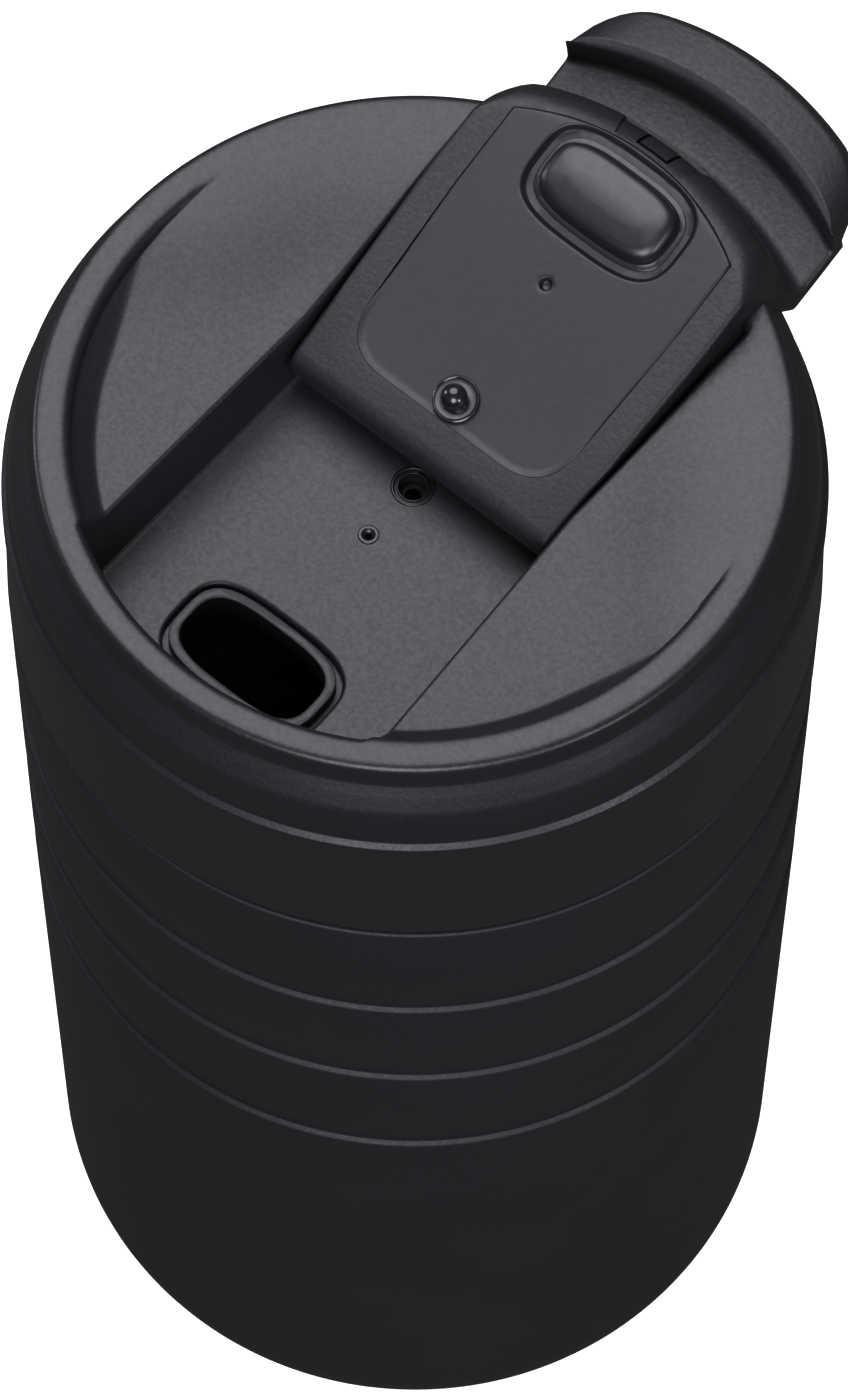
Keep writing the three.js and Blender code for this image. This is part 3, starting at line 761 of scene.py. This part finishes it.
place("lid_body", lid_shell(), LID, "lid", ("lid_shell",), sharp=42)


# ---------- inner cap, spout, socket and vent ----------
def cap_shell():
    """A disc with a rib that enters the cup and a skirt that holds the female ribs."""
    outline = [
        (0, CAP_UNDER_Z, 0),
        (32.8, CAP_UNDER_Z, 0.3),
        (32.8, CAP_RIB_Z, 0.4),
        (34.3, CAP_RIB_Z, 0.5),
        (34.6, CAP_UNDER_Z, 0.2),
        (CAP_SKIRT_IN_R, CAP_UNDER_Z, 0.4),
        (CAP_SKIRT_IN_R, CAP_SKIRT_Z, 0.2),
        (CAP_R, CAP_SKIRT_Z, 0.2),
        (CAP_R, CAP_TOP_Z, 0.3),
        (0, CAP_TOP_Z, 0),
    ]
    return lathe(rounded(outline, 4, closed=False), 180, closed=False)


def spout_shell():
    """The raised ring round the drinking hole, still solid."""
    top = floor_at(SIP_Y) + SIP_RING_RISE
    layers = [(SIP_RING, 155.2), (SIP_RING, top - 0.2), (SIP_RING - 0.06, top - 0.06), (SIP_RING - 0.2, top)]
    return stack([(oblong(SIP_HOLE, g, SIP_Y), z) for g, z in layers])


def spout_bore():
    """The drinking hole, which opens a little at the ring's top."""
    top = floor_at(SIP_Y) + SIP_RING_RISE
    layers = [(0.0, 150.0), (0.0, top - 0.2), (0.06, top - 0.06), (0.2, top + 0.05), (0.2, top + 2)]
    return stack([(oblong(SIP_HOLE, g, SIP_Y), z) for g, z in layers])


def cap_threads():
    threads = [Shell(), Shell()]
    for shell, start in zip(threads, (15, 195)):
        helical_rib(shell, start, **FEMALE_RIB)
    return threads


def cap_bore(y):
    """A hole right through the cap's disc."""
    loop = circle(CAP_BORE_R, y, 24)
    return stack([(loop, z) for z in CAP_BORE_Z])


place(
    "inner_cap", cap_shell(), LID, "lid", ("lid_inner",), sharp=42,
    joins=(spout_shell(), *cap_threads()),
    cuts=(spout_bore(), cap_bore(SOCKET_Y), cap_bore(VENT_Y)),
)


def socket_shell():
    """A soft lip and an inner ring round the bore that takes the stud."""
    top = floor_at(SOCKET_Y)
    outline = [
        (SOCKET_R, FLOOR_UNDER_Z, 0), (SOCKET_R, top, 0.12), (2.1, top, 0.08), (2.0, top - 0.4, 0.06),
        (1.78, top - 0.4, 0.06), (1.72, top - 0.1, 0.06), (1.6, top - 0.1, 0.05),
        (SOCKET_BORE_R, top - 1.0, 0), (SOCKET_BORE_R, FLOOR_UNDER_Z, 0),
    ]
    return lathe(rounded(outline, 4), 64, y=SOCKET_Y)


def vent_shell():
    """A low ring whose bore narrows in two steps."""
    top = floor_at(VENT_Y)
    outline = [
        (VENT_R, FLOOR_UNDER_Z, 0), (VENT_R, top + 0.1, 0.1), (0.75, top + 0.1, 0.1), (0.62, top - 0.1, 0.06),
        (0.4, top - 0.3, 0.06), (VENT_BORE_R, FLOOR_UNDER_Z, 0),
    ]
    return lathe(rounded(outline, 4), 48, y=VENT_Y)


place("stud_bush", socket_shell(), PLUG, "lid", ("stud_socket",))
place("vent_ring", vent_shell(), PLUG, "lid", ("vent_bush",))


# ---------- the flap, in its own frame: x across, u along its face, n square to it ----------
PLUG_U = 30.4
STUD_U = 4.3
DIMPLE_U = 19.6
DIMPLE_DEPTH = 0.7
ROLL_FROM = 35.4  # where the face starts to roll over
ROLL_A = 4.4  # the roll's reach along u
ROLL_B = 5.0  # the roll's drop along n
PANEL_FROM = 1.6
PANEL_TO = 36.9
PANEL_END_R = 28.0
PANEL_MARGIN = 3.6
PANEL_CORNER = 6.0
PANEL_PROUD = 0.25  # how far the panel stands above the flap at the front
PANEL_SINK = 0.2  # how far the panel lies below the flap next to the hinge
PANEL_ROUND = 0.3
PANEL_RAMP = 0.6  # width of the sunk end's sloped edge
PANEL_RISE = (2, 34)  # u between which the panel rises from sunk to proud
PANEL_EDGE = (5, 13)  # u between which its sloped edge becomes a round one
PANEL_GAP = 0.05
PANEL_UNDER = 1.4
MOAT = (19.2, 11.8)
MOAT_DEPTH = 0.8
MOAT_LIP = 0.35
MOAT_ROUND = 0.3
PLUG_SIZE = (15.9, 8.1)
PLUG_RISE = 2.0
STUD_R = 2.55
STUD_BALL_R = 1.45
TAB_CROWN = 0.9  # how far the tab's ends hang below its middle
TAB_FROM = 47.0
TAB_CORNER_FROM = 12.2  # how far out from the middle the tab's rounded ends start
TAB_CORNER = 5.9
FLAP_END_HALF = 18.4
SHOULDER_FROM = 15.0
SHOULDER_DROP = 2.4
SIDE_ROUND = 0.6
BOW = (20, 34)  # u between which the bow across the flap sets in


def open_frame(x, u, n):
    """A point of the open flap's frame in the mug's frame."""
    c, s = math.cos(OPEN_TILT), math.sin(OPEN_TILT)
    return (x, HINGE_Y + u * c - n * s, HINGE_Z + u * s + n * c)


def sag(x, radius=SAG_R):
    """How far an arc of this radius has dropped at x."""
    return radius - np.sqrt(radius**2 - x**2)


def flap_half(u):
    plain = FLAP_HALF + FLAP_WIDEN * np.maximum(u, 0)
    return np.minimum(plain, FLAP_END_HALF)


def face_n(u):
    """Height of the flap's face, which rolls over towards the tab."""
    t = np.clip((u - ROLL_FROM) / ROLL_A, 0, 1)
    return FLAP_FACE - ROLL_B * (1 - np.sqrt(1 - t * t))


def flap_section():
    """The flap cut along its middle, as (u, n) points."""
    face = [(-3.4, FLAP_FACE, 2.2)]
    face += [(u, FLAP_FACE, 0) for u in (12, 20, 24, 28, 31)]
    for a in np.radians(np.linspace(0, 88, 15)):
        face.append((ROLL_FROM + ROLL_A * math.sin(a), FLAP_FACE - ROLL_B * (1 - math.cos(a)), 0))
    front_wall = [(39.8, -4.6, 1.5), (39.6, -7.0, 1.5), (39.65, -10.9, 2.3), (45.9, -10.9, 0.9)]
    tab = [(46.9, -6.2, 1.1), (48.2, -6.0, 0.8), (52.9, -7.7, 1.2), (53.5, -10.2, 0.9), (50.8, -11.9, 1.6)]
    underside = [(45, -12.9, 2), (38.4, -12.8, 1.2), (37.6, -8, 1), (37.1, -4, 1), (36.0, -0.9, 1.5)]
    back = [(31, -0.7, 0), (26, -0.9, 0), (21, -1.1, 0), (12, -1.1, 0), (2.6, -1.1, 1.0)]
    knuckle = [(1.3, -3.3, 1.0), (-3.4, -3.2, 2.8)]
    return np.array(rounded(face + front_wall + tab + underside + back + knuckle, 6))


def inset(section, amount):
    """A closed section moved inwards along its own normals."""
    along = np.roll(section, -1, axis=0) - np.roll(section, 1, axis=0)
    along /= np.linalg.norm(along, axis=1)[:, None]
    return section + amount * np.column_stack((along[:, 1], -along[:, 0]))


def flap_shell():
    """The section lofted across the flap, bowed at its front, with a rounded tab and soft sides."""
    section = flap_section()
    shell = Shell()
    rings = []
    corner = [(1 - math.cos(a), 1 - math.sin(a)) for a in np.radians(np.linspace(0, 90, 6))]
    stations = [(-1, back, drop) for back, drop in corner]
    stations += [(share, 0, 0) for share in np.linspace(-0.94, 0.94, 45)]
    stations += [(1, back, drop) for back, drop in reversed(corner)]
    for share, back, drop in stations:
        ring = inset(section, SIDE_ROUND * drop)
        u, n = ring[:, 0], ring[:, 1]
        x = share * flap_half(u) - np.sign(share) * SIDE_ROUND * back
        n = n - TAB_CROWN * share**2 * smoothstep(u, 45, 48)
        past = max((abs(share) * FLAP_END_HALF - TAB_CORNER_FROM) / TAB_CORNER, 0)
        round_end = math.sqrt(max(1 - past**2, 0.01))
        shoulder = np.clip((np.abs(x) - SHOULDER_FROM) / (FLAP_END_HALF - SHOULDER_FROM), 0, 1) ** 2
        pulled = shoulder * SHOULDER_DROP * smoothstep(u, 31, 38.5) * smoothstep(n, -9.5, -6.0) * (u < 44)
        bowed = sag(x) * smoothstep(u, *BOW)
        u = np.where(u > TAB_FROM, TAB_FROM + (u - TAB_FROM) * round_end, u) - pulled - bowed
        rings.append(shell.add(np.column_stack((x, u, n))))
    shell.loft(rings)
    shell.faces.append(tuple(rings[0]))
    shell.faces.append(tuple(rings[-1]))
    return shell


def panel_plan(grow=0.0):
    """The panel's outline in x and u."""
    def half(u):
        return float(flap_half(np.array(u))) - PANEL_MARGIN + grow
    front = PANEL_FROM - grow
    side = front + PANEL_CORNER
    right = []
    for t in np.linspace(0, 1, 14):
        start = (1 - t) ** 2 * (half(front) - PANEL_CORNER)
        x = start + 2 * t * (1 - t) * half(front) + t * t * half(side)
        right.append((x, (1 - t * t) * front + t * t * side))
    end_half = half(PANEL_TO - 4)
    for u in np.linspace(side, PANEL_TO - sag(end_half, PANEL_END_R) + grow, 22)[1:-1]:
        right.append((half(u), u))
    for x in np.linspace(end_half, 0, 22):
        right.append((x, PANEL_TO + grow - sag(x, PANEL_END_R)))
    right = np.array(right)
    left = right[-2::-1] * (-1, 1)
    return np.vstack((right, left))


def panel_height(flat):
    """Height of the panel's face, with its edge, the moat round the stopper and the dimple."""
    x, u = flat[:, 0], flat[:, 1]
    inside = -distance(flat, PANEL_PLAN)
    sunk = 1 - smoothstep(u, *PANEL_RISE)
    near = 1 - smoothstep(u, *PANEL_EDGE)
    n = face_n(u + sag(x) * smoothstep(u, *BOW)) + PANEL_PROUD - sunk * (PANEL_PROUD + PANEL_SINK)
    edge = np.clip(1 - inside / PANEL_ROUND, 0, 1)
    ramp = np.clip(1 - inside / PANEL_RAMP, 0, 1)
    n = n + near * PANEL_SINK * ramp - (1 - near) * PANEL_ROUND * (1 - np.sqrt(1 - edge**2))
    into = -distance(flat, MOAT_PLAN)
    lip = np.clip(1 + into / MOAT_LIP, 0, 1)
    n = n - np.where(into < 0, MOAT_ROUND * (1 - np.sqrt(1 - lip**2)), 0)
    wall = smoothstep(into, 0.0, MOAT_LIP)
    n = n - np.where(into >= 0, MOAT_ROUND + (MOAT_DEPTH - MOAT_ROUND) * wall, 0)
    dimple = np.hypot(x, u - DIMPLE_U)
    return n - DIMPLE_DEPTH * (1 - smoothstep(dimple, 0.45, 0.8))


PANEL_PLAN = panel_plan()
MOAT_PLAN = oblong(MOAT, 0, PLUG_U)


def panel_shell():
    """The panel's face over a flat underside."""
    loops = [PANEL_PLAN]
    for step in (0.03, 0.08, 0.15, 0.22, 0.31, 0.5, 0.7, 1.0):
        loops.append(panel_plan(-step))
    moat_steps = (0.9, 0.36, 0.3, 0.2, 0.1, 0.04, 0.0, -0.12, -0.24, -0.36, -1.0)
    loops += [oblong(MOAT, step, PLUG_U) for step in moat_steps]
    loops += [circle(r, DIMPLE_U, 24) for r in (1.3, 0.85, 0.74, 0.63, 0.52, 0.42)]
    spots = [(x, u) for x in np.arange(-14.5, 14.6, 1.0) for u in np.arange(2.6, 36.4, 1.0)]
    spots = np.array(spots)
    spots = spots[(distance(spots, PANEL_PLAN) < -1.2) & (distance(spots, MOAT_PLAN) > 1.2)]
    flat, faces = triangulate(loops, [], spots, [])
    shell = Shell()
    shell.add(np.column_stack((flat, panel_height(flat))))
    shell.add(np.column_stack((flat, np.full(len(flat), PANEL_UNDER))))
    count = len(flat)
    shell.faces += [tuple(int(i) for i in f) for f in faces]
    shell.faces += [tuple(int(i) + count for i in reversed(f)) for f in faces]
    shell.faces += [(int(b), int(a), int(a) + count, int(b) + count) for a, b in open_edges(faces)]
    return shell


def plug_shell():
    """A seat, a step and a domed stopper, through (growth of its outline, height) layers."""
    foot = FLAP_FACE - MOAT_DEPTH
    top = FLAP_FACE + PLUG_RISE
    layers = [(0.75, foot - 0.4), (0.75, foot + 0.18), (0.68, foot + 0.3), (0.55, foot + 0.35)]
    layers += [(0.2, foot + 0.38), (0.1, foot + 0.48), (0.04, foot + 0.63)]
    layers += [(0, FLAP_FACE + 0.3), (-0.05, FLAP_FACE + 0.7)]
    for a in np.radians(np.linspace(10, 80, 8)):
        layers.append((-0.05 - 1.5 * (1 - math.cos(a)), top - 0.25 - 1.1 * (1 - math.sin(a))))
    layers += [(-2.0, top - 0.17), (-2.7, top - 0.08), (-3.3, top - 0.03)]
    return stack([(oblong(PLUG_SIZE, g, PLUG_U, 3.3 if g > -1.5 else 2.8), n) for g, n in layers])


def stud_shell():
    """A low ring round a ball on a short neck."""
    face = FLAP_FACE + PANEL_PROUD
    ring = [
        (0, 1.0, 0),
        (STUD_R, 1.0, 0),
        (STUD_R, face + 0.06, 0.03),
        (STUD_R - 0.15, face + 0.15, 0.06),
        (STUD_R - 0.35, face + 0.05, 0.1),
        (1.5, face + 0.02, 0.2),
    ]
    outline = rounded(ring, 4, closed=False)
    for a in np.radians(np.linspace(-42, 84, 14)):
        outline.append((STUD_BALL_R * math.cos(a), face + 1.0 + (STUD_BALL_R - 0.1) * math.sin(a)))
    outline.append((0, face + 2.37))
    return lathe(outline, 48, closed=False, y=STUD_U)


def roll_cut(low_half, high_half, start, end, deep, centre=0.0):
    """A solid that follows the roll between two angles, and cuts a recess of this depth in it."""
    shell = Shell()
    steps = 9
    angles = np.radians(np.linspace(start, end, steps))
    halves = np.linspace(low_half, high_half, steps)
    reach = np.concatenate((np.full(steps, -deep), np.full(steps, 1.5)))
    angles = np.concatenate((angles, angles[::-1]))
    halves = np.concatenate((halves, halves[::-1]))
    u = ROLL_FROM + (ROLL_A + reach) * np.sin(angles)
    n = FLAP_FACE - ROLL_B + (ROLL_B + reach) * np.cos(angles)
    rings = []
    for share in np.linspace(-1, 1, 13):
        x = centre + share * halves
        rings.append(shell.add(np.column_stack((x, u - sag(x), n))))
    shell.loft(rings)
    shell.faces += [tuple(rings[0]), tuple(rings[-1])]
    return shell


def flap_cuts():
    """The pocket for the panel, and the clip's recess with a groove on three sides of its block."""
    pocket = panel_plan(PANEL_GAP)
    cuts = [stack([(pocket, PANEL_UNDER - 0.1), (pocket, 9.0)])]
    cuts.append(roll_cut(4.4, 6.0, 22, 88, 0.4))
    cuts += [roll_cut(0.2, 0.2, 34, 84, 1.1, side) for side in (-2.0, 2.0)]
    cuts.append(roll_cut(2.1, 2.1, 30, 36, 1.1))
    return cuts


place(
    "flap_body", flap_shell(), FLAP, "flap", ("flap_shell",), sharp=40,
    frame_of=open_frame, cuts=flap_cuts(),
)
place("flap_panel", panel_shell(), PLATE, "flap", ("flap_plate",), frame_of=open_frame)
place("stopper", plug_shell(), PLUG, "flap", ("sip_plug",), frame_of=open_frame)
place("stud", stud_shell(), STUD, "flap", ("snap_stud",), frame_of=open_frame)

for name in ("base_plate", "vacuum_seal", "hinge_pin"):
    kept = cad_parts[name].data.materials
    kept.clear()
    kept.append(STEEL)


# ---------- floor, light and camera ----------
LIGHT_COLOUR = (0.90, 0.925, 1.0)
LIGHT_AIM = (0, 0, 0.15)  # metres
ROOM_STRENGTH = 0.075
CAMERA_TURN = math.radians(40.1)
CAMERA_PITCH = math.radians(63.32)
CAMERA_OUT = 0.5869  # metres from the mug's axis
CAMERA_UP = 1.2759
CAMERA_LENS = 308.6
CAMERA_SHIFT_X = 0.0064


def floor():
    """A white floor that neither lights the mug nor mirrors in it."""
    mesh = bpy.data.meshes.new("floor")
    work = bmesh.new()
    bmesh.ops.create_grid(work, x_segments=1, y_segments=1, size=6)
    work.to_mesh(mesh)
    work.free()
    made = bpy.data.objects.new("floor", mesh)
    bpy.context.scene.collection.objects.link(made)
    material = bpy.data.materials.new("floor_white")
    material.use_nodes = True
    shader = material.node_tree.nodes["Principled BSDF"]
    shader.inputs["Base Color"].default_value = (0.9, 0.9, 0.9, 1)
    shader.inputs["Roughness"].default_value = 0.9
    shader.inputs["Emission Color"].default_value = (1, 1, 1, 1)
    shader.inputs["Emission Strength"].default_value = 1.0
    mesh.materials.append(material)
    made.visible_glossy = False
    made.visible_diffuse = False


def softbox(name, towards, far, size, watts):
    """A round area light that faces the mug from a direction, in metres."""
    data = bpy.data.lights.new(name, "AREA")
    data.shape = "DISK"
    data.size = size
    data.energy = watts
    data.color = LIGHT_COLOUR
    made = bpy.data.objects.new(name, data)
    bpy.context.scene.collection.objects.link(made)
    direction = Vector(towards).normalized()
    made.location = Vector(LIGHT_AIM) + direction * far
    made.rotation_mode = "QUATERNION"
    made.rotation_quaternion = direction.to_track_quat("Z", "Y")


def studio():
    """A dim even room with a light overhead, a fill in front and one light at each side."""
    world = bpy.data.worlds.new("studio")
    bpy.context.scene.world = world
    world.use_nodes = True
    background = world.node_tree.nodes["Background"]
    background.inputs["Color"].default_value = (1, 1, 1, 1)
    background.inputs["Strength"].default_value = ROOM_STRENGTH
    softbox("overhead", (-0.32, 0.22, 0.92), 1.0, 1.0, 7.1)
    softbox("front_fill", (0.45, -0.70, 0.55), 1.6, 1.0, 13.8)
    softbox("left_edge", (-0.95, -0.25, 0.30), 1.2, 0.3, 1.6)
    softbox("right_edge", (0.95, -0.15, 0.36), 1.2, 0.35, 2.4)
    bpy.context.scene.view_settings.view_transform = "Standard"


def camera():
    """A long lens, high in front of the mug and to its right."""
    data = bpy.data.cameras.new("camera")
    data.lens = CAMERA_LENS
    data.sensor_width = 36
    data.shift_x = CAMERA_SHIFT_X
    data.clip_start = 0.1
    made = bpy.data.objects.new("camera", data)
    bpy.context.scene.collection.objects.link(made)
    s, c = math.sin(CAMERA_TURN), math.cos(CAMERA_TURN)
    made.location = (s * CAMERA_OUT, -c * CAMERA_OUT, CAMERA_UP)
    level = math.cos(CAMERA_PITCH)
    look = Vector((-s * level, c * level, -math.sin(CAMERA_PITCH)))
    made.rotation_mode = "QUATERNION"
    made.rotation_quaternion = look.to_track_quat("-Z", "Y")
    bpy.context.scene.camera = made


floor()
studio()
camera()
